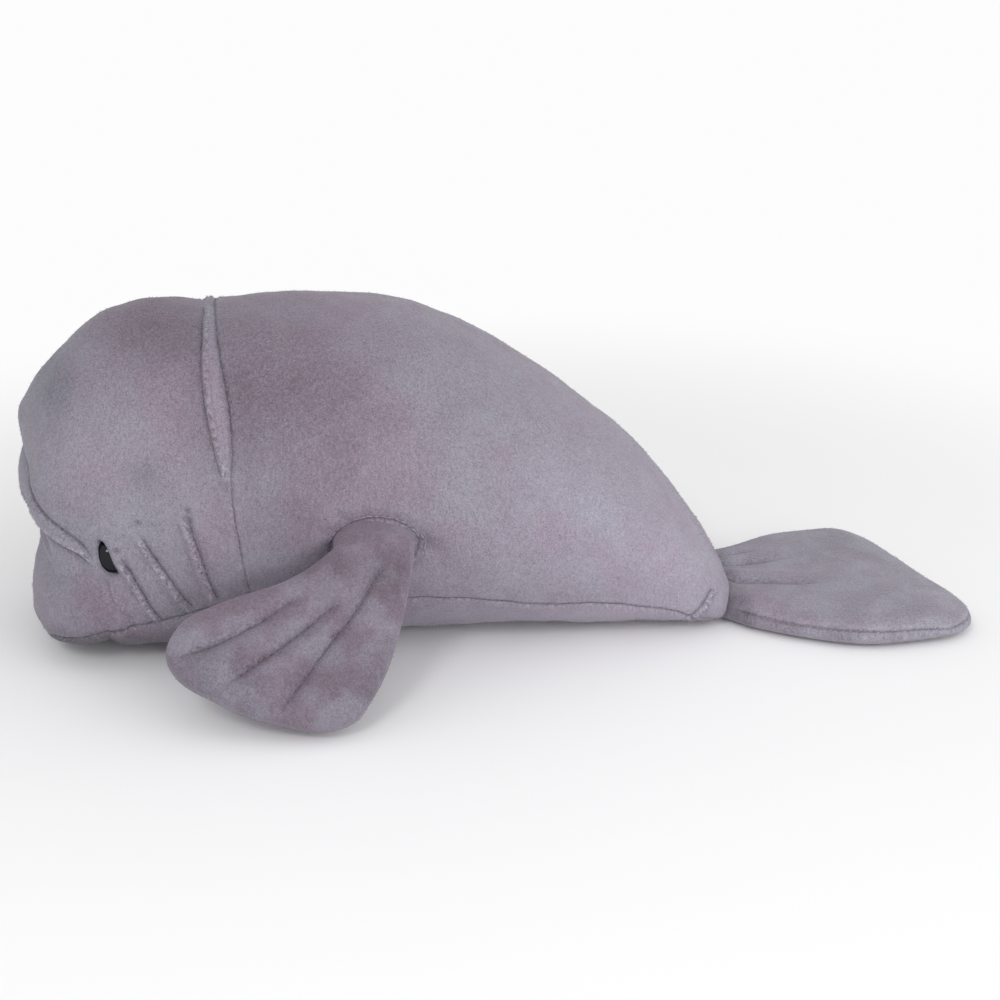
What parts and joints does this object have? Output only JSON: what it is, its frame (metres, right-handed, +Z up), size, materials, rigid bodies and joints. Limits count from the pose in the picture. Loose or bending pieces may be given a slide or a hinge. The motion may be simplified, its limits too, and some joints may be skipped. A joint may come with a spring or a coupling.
{
  "type": "plush manatee toy",
  "caption": "Stuffed manatee lying on its belly: rounded head with blunt snout, plump tapering body, lobed side flippers and a flat paddle tail.",
  "frame": {"origin": "on the floor, in the middle of the flat of the belly between the flippers and the tail", "axes": "-X towards the snout, +X towards the tail, +Z up, the toy's left side towards -Y"},
  "size_m": [0.3839, 0.2376, 0.138],
  "materials": {
    "head_plush": "short-pile plush, soft mauve grey",
    "muzzle_plush": "short-pile plush, cool grey",
    "body_plush": "short-pile plush, mauve grey",
    "under_plush": "short-pile plush, grey",
    "flipper_plush": "smooth short-pile plush, mauve grey",
    "tail_plush": "smooth short-pile plush, cool grey",
    "eye": "polished black",
    "washer": "as moulded",
    "stuffing": "loose polyester fibre"
  },
  "bodies": {
    "trunk": {"head_panel_left": "head_plush", "head_panel_right": "head_plush", "muzzle_panel": "muzzle_plush", "chin_panel": "under_plush", "head_stuffing": "stuffing", "muzzle_stuffing": "stuffing", "body_panel_left": "body_plush", "body_panel_right": "body_plush", "belly_panel": "under_plush", "body_stuffing": "stuffing", "eye_left": "eye", "eye_right": "eye", "eye_washer_left": "washer", "eye_washer_right": "washer"},
    "flipper_left": {"flipper_left_upper": "flipper_plush", "flipper_left_lower": "flipper_plush", "flipper_left_stuffing": "stuffing"},
    "flipper_right": {"flipper_right_upper": "flipper_plush", "flipper_right_lower": "flipper_plush", "flipper_right_stuffing": "stuffing"},
    "tail": {"tail_upper": "tail_plush", "tail_lower": "tail_plush", "tail_stuffing": "stuffing"}
  },
  "joints": [
    {"name": "flipper_left_flap", "type": "hinge", "parent": "trunk", "child": "flipper_left", "pos_m": [-0.0575, -0.06864, 0.0545], "axis": [-1, 0, 0], "range_deg": [-15, 70]},
    {"name": "flipper_right_flap", "type": "hinge", "parent": "trunk", "child": "flipper_right", "pos_m": [-0.0575, 0.06864, 0.0545], "axis": [1, 0, 0], "range_deg": [-15, 70]},
    {"name": "tail_bend", "type": "hinge", "parent": "trunk", "child": "tail", "pos_m": [0.0982, -0.004, 0.0084], "axis": [0, -1, 0], "range_deg": [-20, 60]}
  ]
}
